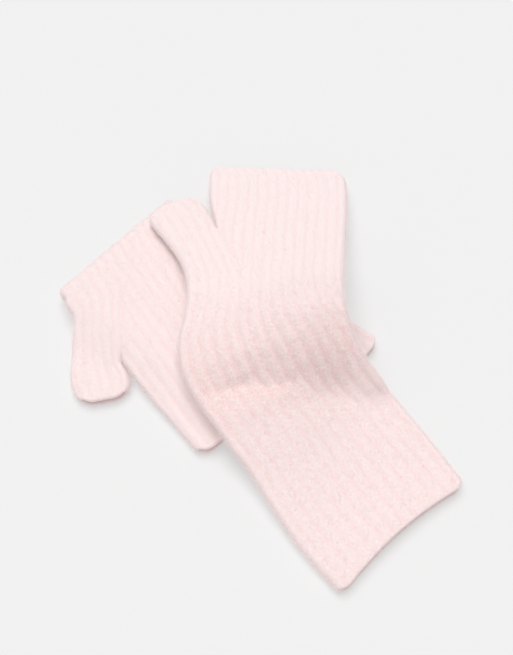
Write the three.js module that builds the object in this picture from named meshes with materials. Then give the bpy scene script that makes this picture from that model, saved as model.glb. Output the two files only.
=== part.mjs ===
// A pair of long fingerless mittens, laid one over the other on a flat surface.
//
// Each mitten is a rib-knitted tube pressed flat, with a half thumb let in at a V-shaped seam.
// The upper one crosses the lower one, turns to one side and stands up there in a soft hump.
// The lower one is folded in two, with its wrist half tucked underneath its hand.
//
// Units are millimetres, +Z is up, and the mittens lie on the plane z = 0.

import * as THREE from "three";

// Cloth
const WALL = 3; // thickness of the brushed rib knit
const HALF = 4; // half the thickness of a flattened tube: two walls and a little air between them
const INNER = HALF - WALL; // half the height of the space inside the flattened tube
const SEAM = 0.5; // gap between a thumb and its body, across the seam

// Lengths along a mitten, from the wrist end
const APEX = 222; // foot of the V seam, where the thumb parts from the hand
const CROTCH = 275; // top of the V seam
const FINGER_END = 348;
const UPPER_TIP = 301; // end of the upper mitten's thumb
const LOWER_TIP = 303; // end of the lower mitten's thumb
const THUMB_SHARE = 0.35; // share of the arm's width that goes on into the thumb

// The fold of the lower mitten
const REST = HALF; // height of the middle of a tube that lies on the surface
const FOLD_RADIUS = 4.25; // of the middle of the tube's thickness, round the fold
const FOLD_LINE = { from: new THREE.Vector2(-118.5, 41.5), to: new THREE.Vector2(-51, 115.5) };
const CUFF_EDGE = { from: new THREE.Vector2(-123, 44), to: new THREE.Vector2(25, -61) };
const EDGE_ROOM = 2; // the hand begins to come down this far inside the tucked cuff's edge
const COME_DOWN = 32; // width over which the hand comes down beside the cuff

// Middle of the pair's outline, in the plan that the courses below are given in
const CENTRE = new THREE.Vector3(1.06, -0.9, 0);

const UPPER_PINK = 0xf9dedc;
const LOWER_PINK = 0xf7d8d6;

// Each row is one course of stitches: its length along the mitten, its two ends in plan, how far its
// middle bows out to the left of the line between them, and the height of the middle of the tube's
// thickness at points spaced evenly from the thumb side to the far side.
const course = (along, thumbSide, farSide, bow, heights) => ({ along, thumbSide, farSide, bow, heights });

const UPPER_ARM = [
  course(0, [51.1, -153.8], [127, -88.2], 5, [4, 5.2, 6, 5.2, 4]),
  course(35, [28.8, -127.6], [107, -57], 3, [4.2, 4.8, 5, 4.6, 4]),
  course(70, [9.6, -99.4], [90, -33], 0, [7.5, 8.6, 8, 6.2, 5.3]),
  course(88, [0, -84], [84, -26], 0, [10.5, 12.6, 11.2, 8.2, 9.2]),
  course(105, [-11, -70], [79, -21.5], 0, [14, 16.4, 14.6, 10.8, 16.4]),
  course(115, [-17.2, -61.9], [74.6, -17.7], 0, [16, 18.8, 17, 14, 21.4]),
  course(125, [-23, -54], [70, -13.5], 0, [17.8, 21.1, 20.4, 20, 26.4]),
  course(135, [-28.2, -47.1], [66.2, -9.1], 0, [19, 21.1, 22.5, 27.2, 31]),
  course(145, [-33, -40], [63, -4.5], 0, [20, 21.2, 27.6, 34, 34.8]),
  course(155, [-37.9, -31.3], [60.7, 0.3], 0, [21.1, 26.4, 33.2, 39.4, 38]),
  course(165, [-42, -22], [59, 5], 0, [22.2, 30, 37, 43.2, 40.4]),
  course(185, [-45.1, -3], [57, 14], 0, [24.3, 30.6, 39, 46.6, 43.6]),
  course(200, [-42.5, 14], [56.5, 26], 0, [25, 29.2, 36, 42.8, 41]),
  course(213, [-40.6, 31], [57.5, 38], 0, [25.2, 27.6, 31.2, 35.6, 35.6]),
  course(APEX, [-41.5, 45], [59, 48], 0, [25, 26.4, 28.4, 30.5, 31.2]),
];
const UPPER_HAND = [
  course(APEX, [-6.3, 46], [59, 48], 0, [27.2, 29.6, 31.2]),
  course(238, [-12.2, 60.5], [60.4, 61], 0, [25, 25.5, 25.5]),
  course(256, [-18, 75], [61.7, 77], 0, [23, 22.5, 20.5]),
  course(CROTCH, [-24, 89.5], [63.3, 93], 0, [20.5, 20, 17.5]),
  course(300, [-28.4, 112], [65.2, 115], 0, [14.5, 14, 12.5]),
  course(325, [-29.6, 134], [65.6, 134], 0, [8.5, 8.5, 8]),
  course(338, [-29.6, 144.4], [65, 140.4], -0.5, [6.2, 6.2, 5.8]),
  course(FINGER_END, [-28.1, 151.5], [61.5, 148], -1, [4.8, 4.8, 4.6]),
];
const UPPER_THUMB = [
  course(APEX, [-41.5, 45], [-6.3, 46], 0, [25, 25.8, 27.2]),
  course(238, [-45.8, 57], [-12.2, 60.5], 0, [24.4, 24.8, 25]),
  course(256, [-52.2, 69], [-18, 75], 0, [23, 23.4, 23]),
  course(CROTCH, [-59.5, 80], [-24, 89.5], 0, [21.8, 22, 20.5]),
  course(292, [-66, 89], [-32, 106], 1, [21.4, 21.4, 20.4]),
  course(UPPER_TIP, [-70, 95], [-39.5, 113], 3, [21.2, 21.2, 20.2]),
];

// The lower mitten's courses are laid out as if it weren't folded. layFolded() gives their places.
const LOWER_ARM = [
  course(0, [-243.5, 184], [-176.6, 247.3], 0, []),
  course(187, [-121, 38], [-52, 114.5], 0, []),
  course(200, [-120, 34], [-43, 103.5], 0, []),
  course(212, [-116.5, 28.5], [-36, 96], 0, []),
  course(APEX, [-113.3, 26.1], [-29.5, 89], 0, []),
];
const LOWER_HAND = [
  course(APEX, [-84.4, 48], [-29.5, 89], 0, []),
  course(238, [-82.8, 33], [-21.7, 75], 0, []),
  course(256, [-82, 13], [-12.7, 61.5], 0, []),
  course(CROTCH, [-81.5, -6], [-3.2, 47.6], 0, []),
  course(300, [-64.8, -27.7], [10.7, 27.3], 0, []),
  course(325, [-46.7, -49.2], [25.4, 5.8], 0, []),
  course(FINGER_END, [-30.2, -69.2], [39.6, -14.8], 0, []),
];
const LOWER_THUMB = [
  course(APEX, [-113.3, 26.1], [-84.4, 48], 0, []),
  course(238, [-114.1, 13.2], [-82.8, 33], 0, []),
  course(256, [-114, 0.2], [-82, 13], 0, []),
  course(CROTCH, [-114, -12], [-81.5, -6], 0, []),
  course(292, [-111, -25], [-76, -17.5], 0, []),
  course(LOWER_TIP, [-105, -35], [-77, -29], 0, []),
];

// A smooth curve through the values at their places, read at one place. It may turn sharply at the
// crotch, so that a hand and its thumb share the whole V seam.
function through(places, values, place) {
  const last = places.length - 1;
  let i = 0;
  while (i < last - 1 && place > places[i + 1]) i += 1;
  const slope = (k) => {
    const sharp = places[k] === CROTCH;
    const a = sharp && k === i ? k : Math.max(k - 1, 0);
    const b = sharp && k > i ? k : Math.min(k + 1, last);
    return (values[b] - values[a]) / (places[b] - places[a]);
  };
  const step = places[i + 1] - places[i];
  const s = (place - places[i]) / step;
  const ends = values[i] * (1 + 2 * s) * (1 - s) ** 2 + values[i + 1] * s * s * (3 - 2 * s);
  const slopes = slope(i) * s * (1 - s) ** 2 + slope(i + 1) * s * s * (s - 1);
  return ends + slopes * step;
}

// The middle of the tube's thickness, for a share across (0 thumb side, 1 far side) and a length along.
function middle(rows, share, along) {
  const places = rows.map((row) => row.along);
  const read = (pick) => through(places, rows.map(pick), along);
  const [x0, y0] = [0, 1].map((k) => read((row) => row.thumbSide[k]));
  const [x1, y1] = [0, 1].map((k) => read((row) => row.farSide[k]));
  const bow = (read((row) => row.bow) * 4 * share * (1 - share)) / Math.hypot(x1 - x0, y1 - y0);
  const x = x0 + (x1 - x0) * share - (y1 - y0) * bow;
  const y = y0 + (y1 - y0) * share + (x1 - x0) * bow;
  const count = rows[0].heights.length;
  if (count === 0) return layFolded(x, y);
  const heights = Array.from({ length: count }, (_, k) => read((row) => row.heights[k]));
  const shares = heights.map((_, k) => k / (count - 1));
  return new THREE.Vector3(x, y, through(shares, heights, share));
}

// Where a point of the unfolded lower mitten lies: the hand on top, the wrist half turned under it.
function layFolded(x, y) {
  const line = FOLD_LINE.to.clone().sub(FOLD_LINE.from).normalize();
  const away = new THREE.Vector2(-line.y, line.x); // from the hand, level, over the fold
  const past = (x - FOLD_LINE.from.x) * away.x + (y - FOLD_LINE.from.y) * away.y;
  if (past <= 0) return new THREE.Vector3(x, y, REST + 2 * FOLD_RADIUS * onCuff(x, y));
  const bend = Math.PI * FOLD_RADIUS;
  const turn = Math.min(past, bend) / FOLD_RADIUS;
  const back = past - FOLD_RADIUS * Math.sin(turn) + Math.max(past - bend, 0);
  return new THREE.Vector3(x - away.x * back, y - away.y * back, REST + FOLD_RADIUS * (1 + Math.cos(turn)));
}

// How high the lower hand lies: 1 on the tucked cuff, 0 where it has come down beside it.
function onCuff(x, y) {
  const edge = CUFF_EDGE.to.clone().sub(CUFF_EDGE.from).normalize();
  const beside = (x - CUFF_EDGE.from.x) * edge.y - (y - CUFF_EDGE.from.y) * edge.x;
  return 1 - THREE.MathUtils.smoothstep(beside, -EDGE_ROOM, COME_DOWN - EDGE_ROOM);
}

// Normal of the middle surface on the side that shows the V.
function normal(rows, share, along, facing) {
  const small = 0.01;
  const across = middle(rows, share + small, along).sub(middle(rows, share - small, along));
  const length = middle(rows, share, along + small).sub(middle(rows, share, along - small));
  return across.cross(length).normalize().multiplyScalar(facing);
}

const between = (from, to, steps) =>
  Array.from({ length: steps + 1 }, (_, k) => THREE.MathUtils.lerp(from, to, k / steps));

// Columns at these distances from a side edge round it off.
const EDGE = [0, 0.6, 2, HALF];

// Shares across from one dense edge to another, with even columns between them.
function columns(from, to, width, evenly) {
  const near = EDGE.map((distance) => from + distance / width);
  const far = EDGE.map((distance) => to - distance / width).reverse();
  return [...near, ...between(near.at(-1), far[0], evenly).slice(1, -1), ...far];
}

// Where one corner of the cloth's mesh lies: its share and length, the distance to the nearest side
// edge that is closed, and which way that edge lies (-1 thumb side, 1 far side).
function site(rows, share, along, width, thumbSideClosed, farSideClosed) {
  const toThumbSide = thumbSideClosed ? share * width : Infinity;
  const toFarSide = farSideClosed ? (1 - share) * width : Infinity;
  const distance = Math.min(toThumbSide, toFarSide, HALF);
  const side = toThumbSide < toFarSide ? -1 : 1;
  return { rows, share, along, width, distance: distance < 1e-6 ? 0 : distance, side };
}

// The four surfaces of a flattened tube at a corner: outside or inside, front or back. At a closed
// side edge the front and the back are one point, and the inside lies a wall's thickness in.
function surfacePoint({ rows, share, along, width, distance, side }, facing, inside, back) {
  const short = 1 - distance / HALF;
  const half = (inside ? INNER : HALF) * Math.sqrt(1 - short * short);
  const inset = inside ? (short * WALL) / width : 0;
  const spot = middle(rows, share - side * inset, along);
  spot.addScaledVector(normal(rows, share - side * inset, along, facing), back ? -half : half);
  spot.z = Math.max(spot.z, 0); // the underside lies flat on the surface
  return spot;
}

// One closed wall. cloth[j][i] says whether the square between sites[j][i] and sites[j + 1][i + 1] is
// there, and every border of the cloth that isn't a closed side edge gets the wall's own thickness.
function wall(name, colour, cloth, sites, facing) {
  const points = [];
  const triangles = [];
  const numbers = new Map();
  const point = ([i, j], inside, back) => {
    const key = [i, j, inside, back && sites[j][i].distance > 0].join();
    if (!numbers.has(key)) {
      numbers.set(key, points.length);
      points.push(surfacePoint(sites[j][i], facing, inside, back));
    }
    return numbers.get(key);
  };
  const quad = (ring, turned) => {
    const [a, b, c, d] = turned ? [...ring].reverse() : ring;
    for (const triangle of [[a, b, c], [a, c, d]]) {
      if (new Set(triangle).size === 3) triangles.push(...triangle);
    }
  };
  const closedEdge = (corners) => corners.every(([i, j]) => sites[j][i].distance === 0);
  cloth.forEach((row, j) => row.forEach((filled, i) => {
    if (!filled) return;
    const ring = [[i, j], [i + 1, j], [i + 1, j + 1], [i, j + 1]];
    for (const inside of [false, true]) {
      for (const back of [false, true]) {
        quad(ring.map((corner) => point(corner, inside, back)), (inside !== back) !== facing < 0);
      }
    }
    const neighbours = [cloth[j - 1]?.[i], row[i + 1], cloth[j + 1]?.[i], row[i - 1]];
    neighbours.forEach((neighbour, k) => {
      const [a, b] = [ring[k], ring[(k + 1) % 4]];
      if (neighbour || closedEdge([a, b])) return;
      for (const back of [false, true]) {
        const [outerA, innerA] = [point(a, false, back), point(a, true, back)];
        const [outerB, innerB] = [point(b, false, back), point(b, true, back)];
        quad([outerA, innerA, innerB, outerB], back !== facing < 0);
      }
    });
  }));
  const geometry = new THREE.BufferGeometry();
  const positions = points.flatMap((spot) => spot.toArray());
  geometry.setAttribute("position", new THREE.Float32BufferAttribute(positions, 3));
  geometry.setIndex(triangles);
  geometry.computeVertexNormals();
  const material = new THREE.MeshStandardMaterial({ color: colour, roughness: 0.95, metalness: 0 });
  const mesh = new THREE.Mesh(geometry, material);
  mesh.name = name;
  return mesh;
}

const widthAt = (rows, along) => middle(rows, 0, along).distanceTo(middle(rows, 1, along));

// The body: the arm, and above the foot of the V the hand. Beside the hand the columns that go on into
// the thumb carry no cloth.
function body(name, colour, arm, hand, lengths, facing) {
  const toThumb = EDGE.length + 2; // columns on the thumb's side of the foot of the V
  const sites = lengths.map((along) => {
    const onArm = along <= APEX;
    const rows = onArm ? arm : hand;
    const width = widthAt(rows, along);
    const foot = onArm ? THUMB_SHARE : 0;
    const shares = [
      ...EDGE.map((distance) => (onArm ? distance / width : 0)),
      ...between(onArm ? HALF / width : 0, foot, 3).slice(1, -1),
      ...columns(foot, 1, width, 5),
    ];
    return shares.map((share) => site(rows, share, along, width, onArm || along >= CROTCH, true));
  });
  const squares = sites[0].slice(1);
  const cloth = lengths.slice(0, -1).map((along) => squares.map((_, i) => along < APEX || i >= toThumb));
  return wall(name, colour, cloth, sites, facing);
}

function thumb(name, colour, rows, lengths, facing) {
  const sites = lengths.map((along) => {
    const width = widthAt(rows, along);
    const clear = 1 - SEAM / width; // keeps the thumb off the V seam
    const farSideClosed = along >= CROTCH;
    const row = columns(0, 1, width, 4).map((share) => site(rows, share, along, width, true, farSideClosed));
    return row.map((spot) => ({ ...spot, share: spot.share * clear }));
  });
  const cloth = sites.slice(1).map((row) => row.slice(1).map(() => true));
  return wall(name, colour, cloth, sites, facing);
}

// Lengths at which the cloth has a course of corners. They are dense where it bends most.
const SEAM_TOP = CROTCH - 2; // the last course on which the V seam is open
const BESIDE_SEAM = between(APEX, SEAM_TOP, 5).slice(1);
const HAND_LENGTHS = [...BESIDE_SEAM, ...between(CROTCH, FINGER_END, 7)];
const FOLD_LENGTHS = between(170, 192, 10);
const UPPER_LENGTHS = [...between(0, APEX, 18), ...HAND_LENGTHS];
const LOWER_LENGTHS = [...between(0, 165, 8), ...FOLD_LENGTHS, ...between(200, APEX, 3), ...HAND_LENGTHS];
const thumbLengths = (tip) => [APEX + SEAM, ...BESIDE_SEAM, ...between(CROTCH, tip, 4)];

const pair = new THREE.Group();
pair.position.copy(CENTRE).negate();
pair.add(
  body("upper_mitten_body", UPPER_PINK, UPPER_ARM, UPPER_HAND, UPPER_LENGTHS, 1),
  thumb("upper_mitten_thumb", UPPER_PINK, UPPER_THUMB, thumbLengths(UPPER_TIP), 1),
  body("lower_mitten_body", LOWER_PINK, LOWER_ARM, LOWER_HAND, LOWER_LENGTHS, -1),
  thumb("lower_mitten_thumb", LOWER_PINK, LOWER_THUMB, thumbLengths(LOWER_TIP), -1),
);

export default pair;
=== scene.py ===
# %% [markdown]
# # A pair of long fingerless mittens
#
# Each mitten is one tube of brushed rib knit with a half thumb let in at a V-shaped seam. One is
# folded in two on a pale surface. The other is laid across it and stands up in a soft hump. The
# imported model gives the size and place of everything, so it is loaded first and kept as a fixed
# frame.

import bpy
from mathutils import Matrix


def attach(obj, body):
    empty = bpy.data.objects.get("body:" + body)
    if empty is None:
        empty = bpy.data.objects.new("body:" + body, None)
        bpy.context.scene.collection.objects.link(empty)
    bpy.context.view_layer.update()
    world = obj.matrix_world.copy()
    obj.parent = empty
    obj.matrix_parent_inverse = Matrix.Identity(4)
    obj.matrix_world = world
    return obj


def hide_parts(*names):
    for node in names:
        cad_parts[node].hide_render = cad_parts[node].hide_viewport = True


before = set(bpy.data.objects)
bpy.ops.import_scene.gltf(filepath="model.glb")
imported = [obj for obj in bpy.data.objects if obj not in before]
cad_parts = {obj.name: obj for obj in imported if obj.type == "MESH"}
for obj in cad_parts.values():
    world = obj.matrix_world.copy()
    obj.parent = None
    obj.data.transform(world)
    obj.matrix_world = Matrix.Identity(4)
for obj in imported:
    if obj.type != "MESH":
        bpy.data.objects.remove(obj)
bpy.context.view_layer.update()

from collections import namedtuple

import bpy
import numpy as np
from mathutils import Vector
from mathutils.bvhtree import BVHTree

# %% [markdown]
# ## Small helpers
#
# Colours are picked as sRGB hex values, but a shader works in linear light, so one function turns
# them. Another adds a shader node with its settings and links in one line, which keeps a material
# readable from top to bottom. The others ease a value from 0 to 1, as a soft edge does, and make
# directions one long.

# %% Helpers
MM = 0.001


def linear(hex_colour):
    """The linear colour of an sRGB hex value, with full alpha."""
    srgb = np.array([int(hex_colour[k : k + 2], 16) for k in (1, 3, 5)]) / 255
    light = np.where(srgb <= 0.04045, srgb / 12.92, ((srgb + 0.055) / 1.055) ** 2.4)
    return (*light.tolist(), 1.0)


def add(tree, kind, inputs=None, **settings):
    """Adds a node. Each input is a value, or the output of another node that is linked to it."""
    made = tree.nodes.new(kind)
    for name, value in settings.items():
        setattr(made, name, value)
    for name, value in (inputs or {}).items():
        if isinstance(value, bpy.types.NodeSocket):
            tree.links.new(value, made.inputs[name])
        else:
            made.inputs[name].default_value = value
    return made


def ease(start, end, value):
    """0 before start, 1 after end, and a smooth rise between them."""
    t = np.clip((value - start) / (end - start), 0, 1)
    return t * t * (3 - 2 * t)


def unit(vectors):
    return vectors / np.maximum(np.linalg.norm(vectors, axis=-1, keepdims=True), 1e-12)


print("half way along a soft edge:", ease(0, 2, 1.0))

# %% [markdown]
# ## How the upper mitten lies
#
# Each row of these tables is one course of stitches: its place along the mitten, counted from 0 at
# the wrist to 348 at the fingers, about a millimetre each, its two ends in plan, how far its middle
# bows out to the left, and its height at even steps from the thumb side to the far side. The last
# three are in millimetres. A cloth simulation could drop two tubes on a table, but it wouldn't put
# this hump where it lies, so the courses are placed one by one.

# %% Courses of the upper mitten
APEX = 222.0  # foot of the V seam
CROTCH = 275.0  # top of the V seam, where thumb and hand part
FINGER_END = 348.0

Course = namedtuple("Course", "along thumb_side far_side bow heights")

UPPER_ARM = [
    Course(0, (51.1, -153.8), (127, -88.2), 5, (4, 5.2, 6, 5.2, 4)),
    Course(35, (28.8, -127.6), (107, -57), 3, (4.2, 4.8, 5, 4.6, 4)),
    Course(70, (9.6, -99.4), (90, -33), 0, (7.5, 8.6, 8, 6.2, 5.3)),
    Course(88, (0, -84), (84, -26), 0, (10.5, 12.6, 11.2, 8.2, 9.2)),
    Course(105, (-11, -70), (79, -21.5), 0, (14, 16.4, 14.6, 10.8, 16.4)),
    Course(115, (-17.2, -61.9), (74.6, -17.7), 0, (16, 18.8, 17, 14, 21.4)),
    Course(125, (-23, -54), (70, -13.5), 0, (17.8, 21.1, 20.4, 20, 26.4)),
    Course(135, (-28.2, -47.1), (66.2, -9.1), 0, (19, 21.1, 22.5, 27.2, 31)),
    Course(145, (-33, -40), (63, -4.5), 0, (20, 21.2, 27.6, 34, 34.8)),
    Course(155, (-37.9, -31.3), (60.7, 0.3), 0, (21.1, 26.4, 33.2, 39.4, 38)),
    Course(165, (-42, -22), (59, 5), 0, (22.2, 30, 37, 43.2, 40.4)),
    Course(185, (-45.1, -3), (57, 14), 0, (24.3, 30.6, 39, 46.6, 43.6)),
    Course(200, (-42.5, 14), (56.5, 26), 0, (25, 29.2, 36, 42.8, 41)),
    Course(213, (-40.6, 31), (57.5, 38), 0, (25.2, 27.6, 31.2, 35.6, 35.6)),
    Course(APEX, (-41.5, 45), (59, 48), 0, (25, 26.4, 28.4, 30.5, 31.2)),
]
UPPER_HAND = [
    Course(APEX, (-6.3, 46), (59, 48), 0, (27.2, 29.6, 31.2)),
    Course(238, (-12.2, 60.5), (60.4, 61), 0, (25, 25.5, 25.5)),
    Course(256, (-18, 75), (61.7, 77), 0, (23, 22.5, 20.5)),
    Course(CROTCH, (-24, 89.5), (63.3, 93), 0, (20.5, 20, 17.5)),
    Course(300, (-28.4, 112), (65.2, 115), 0, (14.5, 14, 12.5)),
    Course(325, (-29.6, 134), (65.6, 134), 0, (8.5, 8.5, 8)),
    Course(338, (-29.6, 144.4), (65, 140.4), -0.5, (6.2, 6.2, 5.8)),
    Course(FINGER_END, (-28.1, 151.5), (61.5, 148), -1, (4.8, 4.8, 4.6)),
]
UPPER_THUMB = [
    Course(APEX, (-41.5, 45), (-6.3, 46), 0, (25, 25.8, 27.2)),
    Course(238, (-45.8, 57), (-12.2, 60.5), 0, (24.4, 24.8, 25)),
    Course(256, (-52.2, 69), (-18, 75), 0, (23, 23.4, 23)),
    Course(CROTCH, (-59.5, 80), (-24, 89.5), 0, (21.8, 22, 20.5)),
    Course(292, (-66, 89), (-32, 106), 1, (21.4, 21.4, 20.4)),
    Course(301, (-70, 95), (-39.5, 113), 3, (21.2, 21.2, 20.2)),
]
top = max(max(course.heights) for course in UPPER_ARM)
print(len(UPPER_ARM + UPPER_HAND + UPPER_THUMB), "courses, the highest at", top, "mm")

# %% [markdown]
# ## How the lower mitten lies
#
# The lower mitten is folded in two, so its courses are laid out here as if it weren't folded, which
# keeps them evenly spaced. The fold itself gives their places and heights, further down. Its ribs
# are about as deep everywhere. Those of the upper mitten stand out on the hump, where the knit is
# bent, and lie flat on the open hand.

# %% Courses of the lower mitten
LOWER_ARM = [
    Course(0, (-243.5, 184), (-176.6, 247.3), 0, ()),
    Course(187, (-121, 38), (-52, 114.5), 0, ()),
    Course(200, (-120, 34), (-43, 103.5), 0, ()),
    Course(212, (-116.5, 28.5), (-36, 96), 0, ()),
    Course(APEX, (-113.3, 26.1), (-29.5, 89), 0, ()),
]
LOWER_HAND = [
    Course(APEX, (-84.4, 48), (-29.5, 89), 0, ()),
    Course(238, (-82.8, 33), (-21.7, 75), 0, ()),
    Course(256, (-82, 13), (-12.7, 61.5), 0, ()),
    Course(CROTCH, (-81.5, -6), (-3.2, 47.6), 0, ()),
    Course(300, (-64.8, -27.7), (10.7, 27.3), 0, ()),
    Course(325, (-46.7, -49.2), (25.4, 5.8), 0, ()),
    Course(FINGER_END, (-30.2, -69.2), (39.6, -14.8), 0, ()),
]
LOWER_THUMB = [
    Course(APEX, (-113.3, 26.1), (-84.4, 48), 0, ()),
    Course(238, (-114.1, 13.2), (-82.8, 33), 0, ()),
    Course(256, (-114, 0.2), (-82, 13), 0, ()),
    Course(CROTCH, (-114, -12), (-81.5, -6), 0, ()),
    Course(292, (-111, -25), (-76, -17.5), 0, ()),
    Course(303, (-105, -35), (-77, -29), 0, ()),
]

Mitten = namedtuple("Mitten", "name arm hand thumb thumb_end facing hidden_below corner depths")
UPPER = Mitten(
    "upper_mitten", UPPER_ARM, UPPER_HAND, UPPER_THUMB,
    thumb_end=301.0,
    facing=1,  # 1 where the thumb side is on the left of the way to the fingers, -1 on the right
    hidden_below=0.0,  # the place along the mitten below which nothing shows
    corner=2.2,  # how far the round corners at the fingers and the thumb's end draw in
    # the yarn's colour reads these depths too, and paints shade where they are deepest, on the
    # hump's front
    depths=((0, 0.75), (80, 0.75), (112, 0.88), (130, 1.15),  # of the ribs, at places along
            (155, 1.15), (185, 0.9), (215, 0.4), (348, 0.28)),
)
LOWER = Mitten(
    "lower_mitten", LOWER_ARM, LOWER_HAND, LOWER_THUMB,
    thumb_end=303.0, facing=-1, hidden_below=165.0, corner=4.2,
    depths=((0, 0.6), (190, 0.6), (348, 0.65)),
)
for mitten in (UPPER, LOWER):
    print(mitten.name, "has its wrist at 0, its fingers at", FINGER_END, "and ribs", end=" ")
    print(max(depth for place, depth in mitten.depths), "deep at most")

# %% [markdown]
# ## Smooth curves between the courses
#
# The knit between two courses has no table of its own. It could be spanned with straight lines,
# but yarn bends evenly. A Hermite curve passes through every value of a table and keeps an even
# slope, so a few courses give a smooth cloth. At the crotch the curve may turn sharply, so that
# hand and thumb share the whole V seam.

# %% Curves
def through(places, values, at):
    """A smooth curve through the values at their places, read at many places at once."""
    places, values = np.asarray(places, float), np.asarray(values, float)
    last = len(places) - 1
    i = np.clip(np.searchsorted(places, at) - 1, 0, last - 1)
    rise = np.diff(values, axis=0) / np.diff(places).reshape(-1, *[1] * (values.ndim - 1))
    slope = [(values[min(k + 1, last)] - values[max(k - 1, 0)]) for k in range(last + 1)]
    slope = [s / (places[min(k + 1, last)] - places[max(k - 1, 0)]) for k, s in enumerate(slope)]
    leaving, arriving = np.array(slope), np.array(slope)
    for k in np.flatnonzero(places[1:-1] == CROTCH) + 1:
        leaving[k], arriving[k] = rise[k], rise[k - 1]

    def read(table, k):
        return table[k] if table.ndim == 1 else np.take_along_axis(table, k[None], 0)[0]

    step = places[i + 1] - places[i]
    s = (at - places[i]) / step
    ends = read(values, i) * (1 + 2 * s) * (1 - s) ** 2 + read(values, i + 1) * s**2 * (3 - 2 * s)
    slopes = read(leaving, i) * s * (1 - s) ** 2 + read(arriving, i + 1) * s**2 * (s - 1)
    return ends + slopes * step


track = [course.along for course in UPPER_ARM]
rise = [course.heights[2] for course in UPPER_ARM]
print("the ridge of the hump is", round(float(through(track, rise, 190.0)), 1), "mm up at 190 mm")

# %% [markdown]
# ## The fold
#
# The lower mitten is folded in two below its thumb, as one would fold it to put it down. It could
# be two flat tubes, one on the other, but the knit goes round in one soft roll. So its plan is
# folded like paper: what lies past the fold line goes round a roll and comes back underneath. The
# hand comes down to the surface beside the tucked cuff.

# %% Fold
WALL = 3.0  # thickness of the knit
HALF = 4.0  # half the thickness of a flattened tube
INNER = HALF - WALL  # half the height of the space inside it
REST = HALF  # height of the middle of a tube that lies on the surface
FOLD_RADIUS = 4.25  # of the middle of the tube, round the roll
FOLD_LINE = np.array([(-118.5, 41.5), (-51.0, 115.5)])
CUFF_EDGE = np.array([(-123.0, 44.0), (25.0, -61.0)])  # the side edge of the tucked half
EDGE_ROOM = 2.0  # how far inside that edge the hand starts to come down
COME_DOWN = 32.0  # how far it goes until it is down


def on_cuff(x, y):
    """How high the lower hand lies: 1 on the tucked cuff, 0 where it has come down beside it."""
    edge = unit(CUFF_EDGE[1] - CUFF_EDGE[0])
    beside = (x - CUFF_EDGE[0, 0]) * edge[1] - (y - CUFF_EDGE[0, 1]) * edge[0]
    return 1 - ease(-EDGE_ROOM, COME_DOWN - EDGE_ROOM, beside)


def lay_folded(x, y):
    """Where a point of the unfolded lower mitten lies: the hand on top, the wrist half under it."""
    line = unit(FOLD_LINE[1] - FOLD_LINE[0])
    away = np.array([-line[1], line[0]])
    past = (x - FOLD_LINE[0, 0]) * away[0] + (y - FOLD_LINE[0, 1]) * away[1]
    bend = np.pi * FOLD_RADIUS
    turn = np.clip(past, 0, bend) / FOLD_RADIUS
    back = np.maximum(past, 0) - FOLD_RADIUS * np.sin(turn) + np.maximum(past - bend, 0)
    rolled = REST + FOLD_RADIUS * (1 + np.cos(turn))
    z = np.where(past <= 0, REST + 2 * FOLD_RADIUS * on_cuff(x, y), rolled)
    return np.stack((x - away[0] * back, y - away[1] * back, z), -1)


def middle(courses, share, along):
    """The middle of the tube's thickness, for shares across and lengths along."""
    lengths = [course.along for course in courses]

    def read(pick):
        return through(lengths, [pick(course) for course in courses], along)

    x0, y0 = (read(lambda course: course.thumb_side[k]) for k in (0, 1))
    x1, y1 = (read(lambda course: course.far_side[k]) for k in (0, 1))
    bow = read(lambda course: course.bow) * 4 * share * (1 - share) / np.hypot(x1 - x0, y1 - y0)
    x = x0 + (x1 - x0) * share - (y1 - y0) * bow
    y = y0 + (y1 - y0) * share + (x1 - x0) * bow
    count = len(courses[0].heights)
    if count == 0:
        return lay_folded(x, y)
    heights = [read(lambda course: course.heights[k]) for k in range(count)]
    return np.stack((x, y, through(np.linspace(0, 1, count), heights, share)), -1)


print("the fold is", 2 * (FOLD_RADIUS + HALF), "mm high")

# %% [markdown]
# ## Ribs and stitches
#
# A knitted rib is a column of V-shaped stitches that stands up between two sunk columns. Thirteen
# ribs cross each face at the wrist. Two more come in at the far side before the thumb, which takes
# the first five. The hand starts three new ones along the V seam. The relief could be a bump in the
# material, but it shows on every edge and fold, so it is modelled.

# %% Ribs
WRIST_RIBS = 13
NEW_RIBS = 2.3  # ribs, and a part of one, that come in at the far side
THUMB_RIBS = 5
THUMB_SHARE = (0.385, 0.35)  # of the arm's width, at the wrist and at the foot of the V
WIDENING = (140.0, APEX)  # where the ribs of the wrist become those of thumb and hand
HAND_RIB = 6.85  # width of a rib of the hand
ROLLED = 0.4  # part of a rib by which the thumb's edge is rolled over, twice
STITCH = 3.8  # length of a stitch along a rib, in places along the mitten
SLANT = 0.45  # how far the sides of a stitch lean back, in stitches
BROAD = 0.7  # below 1, a rib's top is broader than the valley
BEAD, UNEVEN, LOOSE = 0.24, 0.14, 0.1  # parts of a rib's height that its stitches and yarn change
RIB_RISE = 0.85  # height of a rib, from the bottom of a valley
RIB_SINK = 0.5  # how far the valleys are sunk below the face of the CAD solid


def divide(along):
    """The share of the arm's width, from the thumb side, where the thumb's ribs end."""
    at_wrist, at_apex = THUMB_SHARE
    return at_wrist - (at_wrist - at_apex) * ease(120, APEX, along)


def rib_ends(part, along, run):
    """The rib numbers at the two side edges of a part, whose way round is run."""
    wider = ease(*WIDENING, along)
    if part == "thumb":
        rolled = ROLLED * wider + ROLLED * ease(APEX, CROTCH, along)
        return -rolled, np.full(len(along), float(THUMB_RIBS))
    far = WRIST_RIBS + NEW_RIBS * wider
    at_apex = int(np.argmin(np.abs(along - APEX)))
    pitch = run[at_apex] / (far[at_apex] - THUMB_RIBS)
    pitch = pitch + (HAND_RIB - pitch) * ease(APEX, CROTCH, along)
    return np.where(along <= APEX, THUMB_RIBS, far - run / pitch), far


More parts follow.
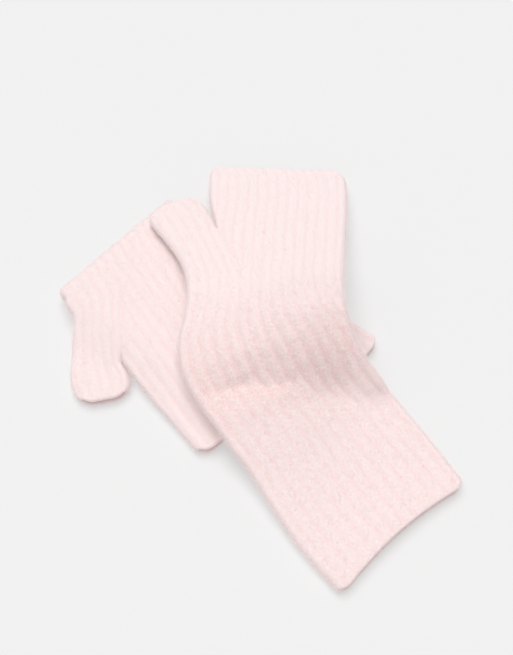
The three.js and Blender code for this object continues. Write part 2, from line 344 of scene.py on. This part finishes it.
def noise(x, y, seed):
    """Smooth random bumps, from -1 to 1, with one value for each whole x and y."""
    table = np.random.default_rng(seed).uniform(-1, 1, (64, 256))
    i, j = np.floor(x).astype(int), np.floor(y).astype(int)
    s, t = ease(0, 1, x - i), ease(0, 1, y - j)

    def corner(a, b):
        return table[(i + a) % table.shape[0], (j + b) % table.shape[1]]

    low = corner(0, 0) * (1 - s) + corner(1, 0) * s
    high = corner(0, 1) * (1 - s) + corner(1, 1) * s
    return low * (1 - t) + high * t


def relief(rib, along, seed):
    """How far the cloth stands up, from 0 in a valley to about 1 on a rib, and its stitches.
    What the three noises are read at sets their grain: ribs across, and millimetres along."""
    off = 2 * (rib % 1) - 1  # -1 and 1 in the valleys, 0 on top of the rib
    ridge = (0.5 + 0.5 * np.cos(off * np.pi)) ** BROAD
    stitch = along / STITCH + SLANT * np.abs(off) + 0.45 * noise(rib * 0.9, along / 11, seed)
    bead = 0.5 + 0.5 * np.cos(2 * np.pi * stitch)
    loose = noise(rib * 3.1, along / 2.1, seed + 1)
    uneven = noise(rib * 1.1 + 9, along / 5.2, seed + 2)
    return ridge, ridge * (1 - BEAD + BEAD * bead + UNEVEN * uneven) + LOOSE * loose


print("of", WRIST_RIBS + NEW_RIBS, "ribs at the foot of the V the thumb takes", THUMB_RIBS)

# %% [markdown]
# ## Courses of one part
#
# The arm's courses belong to the thumb and to the hand: at the wrist they are one tube, and from
# the foot of the V each part has courses of its own. The two could be made apart and set side by
# side, but the ribs run through from arm to thumb. So each part is read from the wrist up, and the
# change at the foot of the V is softened.

# %% Parts
BEND = 5.0  # how softly the courses turn from arm to hand and thumb, at the foot of the V
BEND_REACH = (6.0, 26.0)  # how far from it the turn is still full, and is gone


def middle_of(mitten, part, share, along, arm):
    """The middle of one part, for local shares (rows, columns) and lengths (rows)."""
    along = np.broadcast_to(along if along.ndim == 2 else along[:, None], share.shape)
    split = divide(along)
    on_arm = share * split if part == "thumb" else split + share * (1 - split)
    places = np.empty((*share.shape, 3))
    for rows, courses, shares in (
        (arm, mitten.arm, on_arm),
        (~arm, mitten.thumb if part == "thumb" else mitten.hand, share),
    ):
        found = middle(courses, shares[rows].ravel(), along[rows].ravel())
        places[rows] = found.reshape(*shares[rows].shape, 3)
    return places


def directions(mitten, part, share, along, arm):
    """Unit vectors across the part and out of its face."""
    step, reach = 0.006, 1.5
    across = middle_of(mitten, part, share + step, along, arm)
    across = unit(across - middle_of(mitten, part, share - step, along, arm))
    up = middle_of(mitten, part, share, along + reach, arm)
    up = up - middle_of(mitten, part, share, along - reach, arm)
    return across, unit(np.cross(across, up)) * mitten.facing


def soften(values, along):
    """Blurs a grid along its rows near the foot of the V, and leaves it alone elsewhere."""
    blur = 0.02 + BEND * (1 - ease(*BEND_REACH, np.abs(along - APEX)))
    weight = np.exp(-0.5 * ((along[:, None] - along[None, :]) / blur[:, None]) ** 2)
    weight = weight * np.gradient(along)[None, :]
    weight = weight / weight.sum(axis=1, keepdims=True)
    return np.tensordot(weight, values, 1)


for mitten in (UPPER, LOWER):
    wrist = middle(mitten.arm, np.array([0.0, 1.0]), np.zeros(2))
    wide = np.linalg.norm(wrist[1] - wrist[0])
    places = np.arange(FINGER_END + 1)
    on_the_way = middle_of(mitten, "hand", np.full((len(places), 1), 0.5), places, places <= APEX)
    long = np.linalg.norm(np.diff(on_the_way[:, 0], axis=0), axis=1).sum()
    print(mitten.name, "is", round(wide, 1), "mm wide at the wrist, a rib", end=" ")
    print(round(wide / WRIST_RIBS, 1), "mm, and it is", round(long), "mm long as it lies")

# %% [markdown]
# ## Side edges
#
# A flattened tube has a front and a back that meet round its side edges, with no seam there. Along
# the V the edge of the hand and that of the thumb are one, and it is open: the cloth goes straight
# on. At the crotch it dips and parts into two rounded edges. One rule for all of them, from open to
# closed, keeps each column of corners whole from wrist to fingers.

# %% Sides
DIP = 8.0  # length of the V below the crotch over which the seam dips
CORNER = 9.0  # width beside an edge over which the ends' corners are rounded
WRIST_END, OTHER_END = 22.0, 16.0  # lengths at the two ends over which they are
WRIST_CORNER = 3.4  # how far the wrist's corners draw in
Sides = namedtuple("Sides", "first at_joint open_edge edge short closed run")


def round_corners(along, edge, end, corner):
    """Moves the ends of a tube's rows in beside its edges, so that its corners are round."""
    beside = (1 - np.minimum(edge / CORNER, 1)) ** 2
    at_wrist = 1 - ease(0, WRIST_END, along)
    at_end = ease(end - OTHER_END, end, along)
    return along[:, None] + beside * (at_wrist[:, None] * WRIST_CORNER - at_end[:, None] * corner)


def from_edge(way, closed, arc):
    """Distance in from a side edge for a way round it. A closed edge is round, an open one flat."""
    part = np.minimum(way / arc, 1)
    bent = HALF * ((1 - closed) * part + closed * (1 - np.cos(part * np.pi / 2)))
    return bent + np.maximum(way - arc, 0)


def find_sides(part, width, along, columns):
    """How the corners of a panel lie to the nearer side edge: whether it is the first one, joins
    thumb to hand or is open, how far in they are, in mm and as 1 on the edge to 0, how closed it
    is, and the way round the panel in each row."""
    parting = ease(CROTCH - DIP, CROTCH, along)[:, None]
    outer_edge = np.ones_like(parting)
    closed = (outer_edge, parting) if part == "thumb" else (parting, outer_edge)
    arcs = [HALF * (1 + k * (np.pi / 2 - 1)) for k in closed]
    run = width - 2 * HALF + arcs[0] + arcs[1]
    way = columns[None, :] * run
    first = np.broadcast_to(columns[None, :] < 0.5, way.shape)
    from_first = from_edge(way, closed[0], arcs[0])
    from_last = from_edge(run - way, closed[1], arcs[1])
    edge = np.where(first, from_first, from_last)
    at_joint = ~first if part == "thumb" else first
    open_edge = at_joint & (along < CROTCH)[:, None]
    short = 1 - np.minimum(edge, HALF) / HALF
    return Sides(first, at_joint, open_edge, edge, short, np.where(first, *closed), run)


print("round a closed edge is", round(HALF * np.pi / 2, 2), "mm, for", HALF, "mm in")

# %% [markdown]
# ## Laying a panel
#
# Each face of a part is a grid of corners. Rows run out along the outside, over the bound-off rim
# and back along the inside, and columns are spaced by their way round the edge. First come the
# middle of the tube and the way out of its face, which hand and thumb share along the V.

# %% Faces
SOFTEN = 9.0  # width beside the V seam over which hand and thumb turn into each other


def wall_of(side, width, outside):
    """Half the thickness that the wall stands from the middle, and its share across the part."""
    gap = 1 - side.closed
    profile = np.sqrt(gap**2 + (1 - gap**2) * (1 - side.short**2))
    half = (INNER + WALL * outside[:, None]) * profile
    inset = (1 - outside[:, None]) * WALL * side.short * side.closed
    return half, np.where(side.first, side.edge + inset, width - side.edge - inset) / width


def middle_and_ways(mitten, part, side, share, along, rounded, outside):
    """The middle of a panel, and the ways across it and out of it, softened at the V."""
    arm = along <= APEX
    places = middle_of(mitten, part, share, rounded, arm)
    across, out = directions(mitten, part, share, rounded, arm)
    joint = 0
    for name, share_there in (("thumb", 1.0), ("hand", 0.0)):
        shares = np.full((len(along), 1), share_there)
        joint = joint + directions(mitten, name, shares, along, arm)[1]
    near = np.where(side.at_joint, 1 - ease(0, SOFTEN, side.edge), 0)
    near = near * (1 - ease(CROTCH, CROTCH + DIP, along))[:, None]
    out = unit(out * (1 - near[..., None]) + unit(joint) * near[..., None])
    for rows in (outside > 0.99, outside < 0.01):
        for values in (places, across, out):
            values[rows] = soften(values[rows], along[rows])
    return places, unit(across), unit(out)


def proud_of(side, across, out):
    """The way the ribs stand out: out of the face, and sideways round a closed edge."""
    sideways = np.where(side.open_edge, 0, side.short)
    inward = across * np.where(side.first, 1, -1)[..., None]
    return unit(out * np.sqrt(1 - sideways**2)[..., None] - inward * sideways[..., None])


# %% [markdown]
# ## Ribs on a panel
#
# The ribs are pressed flatter on the face that a mitten lies on, and the hand's edge of the V is a
# plain strip, where the thumb is sewn in. All edges could have ribs up to the last corner, but a
# front and a back have different ones. So their height evens out beside an edge, and the two can be
# merged there into one closed knit.

# %% Panels
EDGE_HEIGHT = 0.6  # height of the relief on a side edge
EVEN_OUT = 3.0  # width over which the relief comes to that height
V_STRIP = 3.0  # width of the plain strip beside the V
V_STRIP_END = 10.0  # length below the crotch over which it fades
SADDLE = 6.0  # length beside the crotch where the joint's edge is plain
PRESSED = 0.55  # depth of the ribs on the face that is lain on, for each 1 on the other
PRESSED_IN = 0.3  # how far that face is pressed in, so that two mittens that touch stay apart


def rib_lift(mitten, part, back, side, along, columns):
    """The rib numbers of a panel, its ridges, their depth, and how far the cloth stands out."""
    first_rib, last_rib = rib_ends(part, along, side.run[:, 0])
    rib = first_rib[:, None] + (last_rib - first_rib)[:, None] * columns[None, :]
    lengths = np.broadcast_to(along[:, None], rib.shape)
    seed = 11 + 5 * (part == "thumb") + 9 * back  # another one for each panel
    ridge, height = relief(rib, lengths, seed)
    if part == "hand":
        on_v = ((along > APEX) * (1 - ease(CROTCH - V_STRIP_END, CROTCH, along)))[:, None]
        seam = 1 - on_v * (1 - ease(0, V_STRIP, np.where(side.first, side.edge, np.inf)))
        ridge, height = ridge * seam, height * seam
    shared = np.where(side.open_edge, 0.0, EDGE_HEIGHT)
    height = shared + (height - shared) * ease(0, EVEN_OUT, side.edge)
    lain_on = back * ease(0, 2 * EVEN_OUT, side.edge)
    pressed = 1 + (PRESSED - 1) * lain_on
    saddle = (1 - ease(0, SADDLE, np.abs(along - CROTCH)))[:, None]
    saddle = saddle * side.short * side.at_joint
    deep = np.interp(along, *np.transpose(mitten.depths))[:, None]
    lift = (RIB_RISE * height - RIB_SINK) * deep * pressed * (1 - saddle)
    return rib, ridge, deep + 0 * rib, lift - PRESSED_IN * lain_on


def panel(mitten, part, back, along, outside, columns):
    """One face of a part. along and outside are given for each row: how far along the mitten it
    lies, and 1 for the wall's outside, 0 for its inside."""
    both_ends = np.tile([0.0, 1.0], (len(along), 1))
    ends = middle_of(mitten, part, both_ends, along, along <= APEX)
    width = np.linalg.norm(ends[:, 1] - ends[:, 0], axis=1)[:, None]
    side = find_sides(part, width, along, columns)
    half, share = wall_of(side, width, outside)
    end = mitten.thumb_end if part == "thumb" else FINGER_END
    beside = np.where(side.open_edge, CORNER, side.edge)
    rounded = round_corners(along, beside, end, mitten.corner)
    places, across, out = middle_and_ways(mitten, part, side, share, along, rounded, outside)
    out = -out if back else out
    rib, ridge, deep, lift = rib_lift(mitten, part, back, side, along, columns)
    outside = outside[:, None] + 0 * rib
    places = places + half[..., None] * out
    places = places + proud_of(side, across, out) * (lift * outside)[..., None]
    places[..., 2] = np.maximum(places[..., 2], 0)
    return places - CENTRE, rib, along[:, None] / STITCH + 0 * rib, ridge * outside, deep, outside


# %% [markdown]
# ## Rows of a mitten
#
# The four panels of a mitten, front and back of hand and thumb, are made as one mesh with their
# shared edges merged, so the ribs run on from arm to thumb with no break. Rows are close together
# where the stitches show and far apart on the inside, so a mitten stays under 200,000 triangles.

# %% Rows
CENTRE = np.array([1.06, -0.9, 0.0])  # of the pair, in the plan of the courses
FINE = 0.95  # length of a row of corners: a quarter of a stitch
COARSE = 2.4  # the same where nothing shows
INSIDE = 12.0  # the same on the inside of the tube
ROUND_FOLD = (165.0, 195.0, 2.0)  # from where to where the inside is bent, and its rows there
FIRST_STOP = 100.0  # where the rows of a mitten with nothing hidden are spaced anew
RIM_STEPS = 6  # rows round a bound-off rim


def rows_between(stops, steps):
    """Lengths along a mitten from stop to stop, with each stretch's own step."""
    rows = []
    for start, end, step in zip(stops, stops[1:], steps):
        count = max(int(np.ceil((end - start) / step)), 1)
        rows.append(np.linspace(start, end, count + 1)[:-1])
    return np.concatenate(rows)


def wall_rows(mitten, end):
    """Rows that run round the wall once: out along the outside, over the rim and back inside."""
    r = WALL / 2
    hidden = mitten.hidden_below
    stops = [r, hidden or FIRST_STOP, APEX, CROTCH, end - r]
    outer = rows_between(stops, [COARSE if hidden else FINE, FINE, FINE, FINE])
    bent_from, bent_to, bent_step = ROUND_FOLD
    stops = [r, bent_from, bent_to, APEX, CROTCH, end - r]
    steps = [INSIDE, bent_step if hidden else INSIDE, INSIDE, INSIDE, INSIDE]
    inner = rows_between(stops, steps)[1:][::-1]
    turn = np.linspace(np.pi / 2, -np.pi / 2, RIM_STEPS + 1)
    along = [outer, end - r * (1 - np.cos(turn)), inner, r * (1 - np.cos(turn[::-1]))[:-1]]
    outside = [np.ones_like(outer), (1 + np.sin(turn)) / 2, np.zeros_like(inner)]
    outside += [((1 + np.sin(turn[::-1])) / 2)[:-1]]
    return np.concatenate(along), np.concatenate(outside)


for mitten in (UPPER, LOWER):
    print(mitten.name, "has", len(wall_rows(mitten, FINGER_END)[0]), "rows round its hand's wall")

# %% [markdown]
# ## Knitting a mitten
#
# The rows of all four panels become one grid of squares. The knit's own map is kept with it, ribs
# one way and stitches the other, and so are its ridges and their depth, for the yarn's colour and
# the shade painted into it.

# %% Knit
MERGE = 0.00001  # corners nearer than this, in metres, are the same


def squares(mitten, counts):
    """Corners, squares, map and kept values of a mitten's four panels."""
    corners, faces, maps = [], [], []
    kept = {"ridge": [], "depth": [], "outside": []}
    start = 0
    for part, end in (("thumb", mitten.thumb_end), ("hand", FINGER_END)):
        along, outside = wall_rows(mitten, end)
        for back in (False, True):
            columns = np.linspace(0, 1, counts[part, back] + 1)
            places, rib, stitch, *values = panel(mitten, part, back, along, outside, columns)
            rows, across = rib.shape
            number = start + np.arange(rows * across).reshape(rows, across)
            start += rows * across
            on = np.roll(number, -1, axis=0)
            ring = [number[:, :-1], number[:, 1:], on[:, 1:], on[:, :-1]]
            if back != (mitten.facing < 0):
                ring.reverse()
            faces.append(np.stack(ring, -1).reshape(-1, 4))
            corners.append(places.reshape(-1, 3) * MM)
            maps.append(np.stack((rib, stitch), -1).reshape(-1, 2))
            for name, value in zip(kept, values):
                kept[name].append(value.ravel())
    kept = {name: np.concatenate(values) for name, values in kept.items()}
    return np.concatenate(corners), np.concatenate(faces), np.concatenate(maps), kept


def close_up(piece):
    """Merges the shared edges of a knit's panels and fills the small saddle at the crotch."""
    bpy.ops.object.select_all(action="DESELECT")
    bpy.context.view_layer.objects.active = piece
    piece.select_set(True)
    bpy.ops.object.mode_set(mode="EDIT")
    bpy.ops.mesh.select_all(action="SELECT")
    bpy.ops.mesh.remove_doubles(threshold=MERGE)
    bpy.ops.mesh.fill_holes(sides=4)
    bpy.ops.object.mode_set(mode="OBJECT")
    bpy.ops.object.shade_smooth()


def knit(mitten, counts):
    """Makes a mitten's mesh. counts gives the columns of each part's front and back."""
    corners, faces, places_on_map, kept = squares(mitten, counts)
    mesh = bpy.data.meshes.new(mitten.name + "_knit")
    mesh.from_pydata(corners.tolist(), [], faces.tolist())
    knit_map = mesh.uv_layers.new(name="knit")
    spread = places_on_map[faces.ravel()].astype(np.float32)
    knit_map.uv.foreach_set("vector", spread.ravel())
    for name, values in kept.items():
        attribute = mesh.attributes.new(name, "FLOAT", "POINT")
        attribute.data.foreach_set("value", values.astype(np.float32))
    piece = bpy.data.objects.new(mitten.name + "_knit", mesh)
    bpy.context.scene.collection.objects.link(piece)
    close_up(piece)
    mesh.calc_loop_triangles()
    print(piece.name, len(mesh.vertices), "corners", len(mesh.loop_triangles), "triangles")
    return piece


COLUMNS = {("thumb", False): 46, ("hand", False): 106, ("thumb", True): 22, ("hand", True): 50}
upper = knit(UPPER, COLUMNS)
lower = knit(LOWER, COLUMNS)

# %% [markdown]
# ## Where fibres stand
#
# The knit is brushed, so loose fibres stand off it all over and soften each edge. A particle system
# would draw them, but a part needs real shapes, so each fibre is a thin closed spike. More of them
# stand on the sides, which are seen against the surface, and few where a mitten is lain on.

# %% Where fibres stand
AT_EDGES = 1.2  # extra fibres on the sides, for each one on top
UNDERSIDE = 0.15  # fibres on a face that looks down, for each one on a face that looks up
FLAT_RIBS = 1.2  # fewer stand on flat ribs: a rib's depth times this, up to 1


def places_of(mesh):
    """The corners of a mesh, a row for each."""
    places = np.empty(len(mesh.vertices) * 3, np.float32)
    mesh.vertices.foreach_get("co", places)
    return places.reshape(-1, 3)


def kept_values(mesh, name):
    """The values that a knit keeps under a name, one for each corner."""
    values = np.empty(len(mesh.vertices), np.float32)
    mesh.attributes[name].data.foreach_get("value", values)
    return values


def exposed_faces(mesh):
    """Corners, normals and weights of the triangles on the outside of a knit."""
    corners = np.empty(len(mesh.loop_triangles) * 3, np.int32)
    mesh.loop_triangles.foreach_get("vertices", corners)
    corners = corners.reshape(-1, 3)
    corners = corners[kept_values(mesh, "outside")[corners].min(axis=1) > 0.6]
    places = places_of(mesh)[corners].astype(float)
    normals = np.cross(places[:, 1] - places[:, 0], places[:, 2] - places[:, 0])
    areas = np.linalg.norm(normals, axis=1)
    up = unit(normals)[:, 2]
    weights = areas * (UNDERSIDE + (1 - UNDERSIDE) * ease(-0.5, 0.1, up))
    weights *= 1 + AT_EDGES * (1 - ease(0.35, 0.8, up))
    depths = kept_values(mesh, "depth")[corners].mean(axis=1)
    weights *= np.minimum(depths * FLAT_RIBS, 1)
    return places, unit(normals), weights / weights.sum()


exposed = {piece.name: exposed_faces(piece.data) for piece in (upper, lower)}
for name, found in exposed.items():
    print(name, "has", len(found[2]), "triangles that fibres can stand on")

# %% [markdown]
# ## Brushing the knit
#
# Real fibres lean every way, and most are short. They could be combed, but brushed wool isn't. So
# each leans at random from a seed, and one that would meet a mitten or the surface is left out.

# %% Fibres
FIBRE_LENGTH = (0.9, 3.6)
MOSTLY_SHORT = 2.2  # above 1, more fibres are short than long
FIBRE_RADIUS = 0.06  # coarser than a real fibre, which is too fine to show
ROOT = 0.1  # how deep a fibre is rooted
STAND, LEAN = 0.8, 0.75  # how much it goes straight out, and any way
CLEAR = 0.3  # room that it needs past its tip
SPARE = 2.5  # fibres tried for each one that is kept


def spikes(name, roots, ways, lengths, rng):
    """One mesh of thin closed spikes with three sides."""
    side = unit(np.cross(ways, unit(rng.normal(size=ways.shape))))
    other = np.cross(ways, side)
    foot = roots - ways * ROOT * MM
    turns = np.array([0, 2, 4]) * np.pi / 3
    ring = [foot + (side * np.cos(t) + other * np.sin(t)) * FIBRE_RADIUS * MM for t in turns]
    corners = np.stack([*ring, roots + ways * lengths[:, None]], 1).reshape(-1, 3)
    first = np.arange(len(roots))[:, None] * 4
    faces = [first + np.array(f) for f in ((0, 2, 1), (0, 1, 3), (1, 2, 3), (2, 0, 3))]
    mesh = bpy.data.meshes.new(name)
    mesh.from_pydata(corners.tolist(), [], np.stack(faces, 1).reshape(-1, 3).tolist())
    made = bpy.data.objects.new(name, mesh)
    bpy.context.scene.collection.objects.link(made)
    return made


def brush(name, piece, count, seed):
    """Fibres that stand off one knit, clear of both knits and of the surface below."""
    rng = np.random.default_rng(seed)
    places, normals, weights = exposed[piece.name]
    chosen = rng.choice(len(weights), int(count * SPARE), p=weights)
    mix = rng.dirichlet((1, 1, 1), len(chosen))
    roots = (places[chosen] * mix[..., None]).sum(axis=1)
    lean = unit(rng.normal(size=roots.shape))
    ways = unit(normals[chosen] * STAND + lean * LEAN)
    shortest, longest = FIBRE_LENGTH
    lengths = shortest + (longest - shortest) * rng.random(len(chosen)) ** MOSTLY_SHORT
    lengths = lengths * MM
    clear = roots[:, 2] + ways[:, 2] * lengths > 0.1 * MM
    clear &= (ways * normals[chosen]).sum(axis=1) > 0.15
    kept = []
    for k in np.flatnonzero(clear):
        start = Vector(roots[k] + normals[chosen[k]] * 0.03 * MM)
        way = Vector(ways[k])
        if all(tree.ray_cast(start, way, lengths[k] + CLEAR * MM)[0] is None for tree in trees):
            kept.append(k)
            if len(kept) == count:
                break
    print(name, len(kept), "fibres")
    return spikes(name, roots[kept], ways[kept], lengths[kept], rng)


trees = []
for piece in (upper, lower):
    polygons = [tuple(face.vertices) for face in piece.data.polygons]
    trees.append(BVHTree.FromPolygons(places_of(piece.data).tolist(), polygons))
upper_fibres = [brush(f"upper_mitten_fibres_{k}", upper, 45000, 70 + k) for k in (1, 2)]
lower_fibres = [brush("lower_mitten_fibres", lower, 42000, 90)]

# %% [markdown]
# ## The yarn
#
# The yarn is a pale pink wool blend, brushed so that its fibres stand up and hide the single
# stitches. That makes it matt, with a soft light edge. Shade is painted into its colour between the
# ribs: a deeper pink stands for the light that bounces from fibre to fibre there. The yarn is also
# mottled in random patches. They are made stronger where the ribs are pulled open, which is on the
# shaded front of the hump, so there the patches paint shade as well. One even pink could be laid
# over all of it, but the yarn would look like felt, so two pinks are mixed by depth and by patch.

# %% Yarn
# the second pink is painted shade in the valleys and on the hump's front, and also the tone of the
# random patches
YARN, SHADE_AND_MOTTLE_PINK = "#fbedec", "#f4c6c1"
# the next two set the shade painted between the ribs: how far it narrows to a valley's bottom, and
# how strong it is there
VALLEYS = 2.2  # above 1, only the deepest part of a valley is pinker
VALLEY_SHADE = 0.16  # how much of the deep pink the bottom of a valley has
MOTTLE_GRAIN = 800.0  # patches of about a millimetre
PATCHES, PATCH_START = 1.4, -0.52  # how strong they are, and how much of the yarn has none
FIBRE_GRAIN = 1400.0  # coarser than fibres are, which are too fine to show
FIBRE_BUMP = 0.8 * MM


def new_material(name):
    """A material with no nodes in it yet, and its tree."""
    material = bpy.data.materials.new(name)
    material.use_nodes = True
    material.node_tree.nodes.clear()
    return material, material.node_tree


def wool_material(name):
    """Brushed yarn, for a knit that keeps its ridges and their depth, with shade painted into the
    valleys and onto the hump's front.
    """
    material, tree = new_material(name)
    ridge = add(tree, "ShaderNodeAttribute", attribute_name="ridge")
    depth = add(tree, "ShaderNodeAttribute", attribute_name="depth")
    place = add(tree, "ShaderNodeTexCoord")
    fibres = add(tree, "ShaderNodeTexNoise", {
        "Vector": place.outputs["Object"], "Scale": FIBRE_GRAIN, "Detail": 3.0, "Roughness": 0.6,
    })
    mottle = add(tree, "ShaderNodeTexNoise", {
        "Vector": place.outputs["Object"], "Scale": MOTTLE_GRAIN, "Detail": 2.0, "Roughness": 0.6,
    })
    # 1 where yarn lies deep between two ribs, 0 on most of a rib: this places the painted shade
    sunk = add(tree, "ShaderNodeMath", {0: 1.0, 1: ridge.outputs["Fac"]}, operation="SUBTRACT")
    deep = add(tree, "ShaderNodeMath", {0: sunk.outputs[0], 1: VALLEYS}, operation="POWER")
    patchy = add(tree, "ShaderNodeMath", {
        0: mottle.outputs["Fac"], 1: PATCHES, 2: PATCH_START,
    }, operation="MULTIPLY_ADD")
    # patches show most where the ribs are pulled open, so this goes up faster than their depth. The
    # ribs are deepest on the shaded front of the hump, so this also paints shade there
    open_and_shaded = add(tree, "ShaderNodeMath", {0: depth.outputs["Fac"], 1: 2.0}, operation="POWER")
    mottle_and_shade = add(tree, "ShaderNodeMath", {
        0: patchy.outputs[0], 1: open_and_shaded.outputs[0],
    }, operation="MULTIPLY")
    blend = add(tree, "ShaderNodeMath", {
        0: deep.outputs[0], 1: VALLEY_SHADE, 2: mottle_and_shade.outputs[0],
    }, operation="MULTIPLY_ADD", use_clamp=True)
    colour = add(tree, "ShaderNodeMix", {
        "Factor": blend.outputs[0], "A": linear(YARN), "B": linear(SHADE_AND_MOTTLE_PINK),
    }, data_type="RGBA")
    bump = add(tree, "ShaderNodeBump", {
        "Height": fibres.outputs["Fac"], "Strength": 0.5, "Distance": FIBRE_BUMP,
    })
    shader = add(tree, "ShaderNodeBsdfPrincipled", {
        "Base Color": colour.outputs["Result"], "Roughness": 0.95, "Normal": bump.outputs["Normal"],
        "Sheen Weight": 0.25, "Sheen Roughness": 0.5, "Specular IOR Level": 0.2,
    })
    add(tree, "ShaderNodeOutputMaterial", {"Surface": shader.outputs["BSDF"]})
    return material


wool = wool_material("brushed_wool_blend_rib_knit")
for piece in (upper, lower):
    piece.data.materials.append(wool)
print(wool.name, "has", len(wool.node_tree.nodes), "nodes")

# %% [markdown]
# ## A loose fibre
#
# A single fibre is clear and nearly white, and light goes through it. It is too fine to carry a
# pattern, or to need real glass in it, so it has one pale, matt colour: partly its own near white,
# and partly painted light for what shines through it, which keeps the fuzz along the edges from
# going dark.

# %% Loose fibre
# paler than the yarn, partly as painted light for what shines through a fibre
LOOSE_FIBRE = "#fff5f4"


def plain_material(name, **settings):
    """One shader whose values are the same all over. An underscore in a name stands for a space."""
    material, tree = new_material(name)
    inputs = {socket.replace("_", " "): value for socket, value in settings.items()}
    shader = add(tree, "ShaderNodeBsdfPrincipled", inputs)
    add(tree, "ShaderNodeOutputMaterial", {"Surface": shader.outputs["BSDF"]})
    return material


fibre = plain_material(
    "loose_wool_fibre", Base_Color=linear(LOOSE_FIBRE), Roughness=1.0, Specular_IOR_Level=0.1,
)
for piece in upper_fibres + lower_fibres:
    piece.data.materials.append(fibre)
print(fibre.name, "is on", len(upper_fibres + lower_fibres), "pieces")

# %% [markdown]
# ## The surface
#
# The mittens lie on a wide sheet of matt white paper. Paper under studio lamps glows evenly, so its
# own shine is mixed from what it reflects and a little even light, which keeps the shadows pale.

# %% Surface
FLOOR_SIZE = 20.0  # metres, so that its edges are never seen
JUST_BELOW = 0.2 * MM  # the surface is this far below the knit, so that the two don't meet

bpy.ops.object.select_all(action="DESELECT")
bpy.ops.mesh.primitive_plane_add(size=FLOOR_SIZE, location=(0, 0, -JUST_BELOW))
floor = bpy.context.active_object
floor.name = "floor"
floor.data.materials.append(plain_material(
    "matt_white_paper", Base_Color=linear("#bcbcbc"), Roughness=1.0, Specular_IOR_Level=0.0,
    Emission_Color=linear("#ffffff"), Emission_Strength=0.35,
))
print(floor.name, "is", round(floor.dimensions.x), "metres wide")

# %% [markdown]
# ## Light
#
# A big soft lamp hangs nearly overhead, a little behind and to the left. It leaves the side of the
# hump that faces the camera in soft shade. A weak, very soft lamp from the front opens the shadows
# beside the edges, and the pale room fills the rest.

# %% Light
def soft_lamp(name, strength, spread, way):
    """A lamp whose light goes one way. spread is how wide it looks, in degrees."""
    lamp = bpy.data.objects.new(name, bpy.data.lights.new(name, "SUN"))
    lamp.data.energy = strength
    lamp.data.angle = np.radians(spread)
    lamp.rotation_euler = Vector(way).to_track_quat("-Z", "Y").to_euler()
    bpy.context.scene.collection.objects.link(lamp)
    print(name, "has strength", strength, "and is", spread, "degrees wide")


world = bpy.data.worlds.new("soft_room")
world.use_nodes = True
world.node_tree.nodes["Background"].inputs["Color"].default_value = linear("#ffffff")
world.node_tree.nodes["Background"].inputs["Strength"].default_value = 0.40
bpy.context.scene.world = world
bpy.context.scene.view_settings.view_transform = "Standard"
soft_lamp("window_light", 1.9, 50, (0.12, -0.32, -1.0))
soft_lamp("fill_light", 0.45, 90, (0, 0.8, -0.6))

# %% [markdown]
# ## Camera
#
# The camera looks down at 59 degrees from the side of the upper mitten's wrist, near enough for the
# tubes to taper a little. Where it looks and how far off it is came from fitting both outlines.

# %% Camera
LOOK_AT = Vector((1.94, 24.9, 0)) * MM
ELEVATION, DISTANCE = 59, 682.5 * MM
LENS, SENSOR = 57.7, 36  # in mm, as a camera's maker gives them

angle = np.radians(ELEVATION)
camera = bpy.data.objects.new("camera", bpy.data.cameras.new("camera"))
camera.data.lens = LENS
camera.data.sensor_width = SENSOR
camera.location = LOOK_AT + Vector((0, -np.cos(angle), np.sin(angle))) * DISTANCE
camera.rotation_euler = (LOOK_AT - camera.location).to_track_quat("-Z", "Y").to_euler()
camera.data.clip_start = 0.01
bpy.context.scene.collection.objects.link(camera)
bpy.context.scene.camera = camera
print("camera at", [round(value, 3) for value in camera.location], "metres")

# %% [markdown]
# ## Hand over
#
# Each knit takes the place of its mitten's imported body and thumb, and the fibres go with their
# knit. Cut flat, a mitten is about one rectangle, 184 mm all round by 348 mm, which has about the
# area of its arm, hand and thumb together. As they lie, both are wider and shorter than that. The
# upper mitten is laid across the lower one, which is folded.

# %% Hand over
for piece, mitten in ((upper, UPPER), (lower, LOWER)):
    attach(piece, "root")
    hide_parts(mitten.name + "_body", mitten.name + "_thumb")
for piece in upper_fibres + lower_fibres:
    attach(piece, "root")
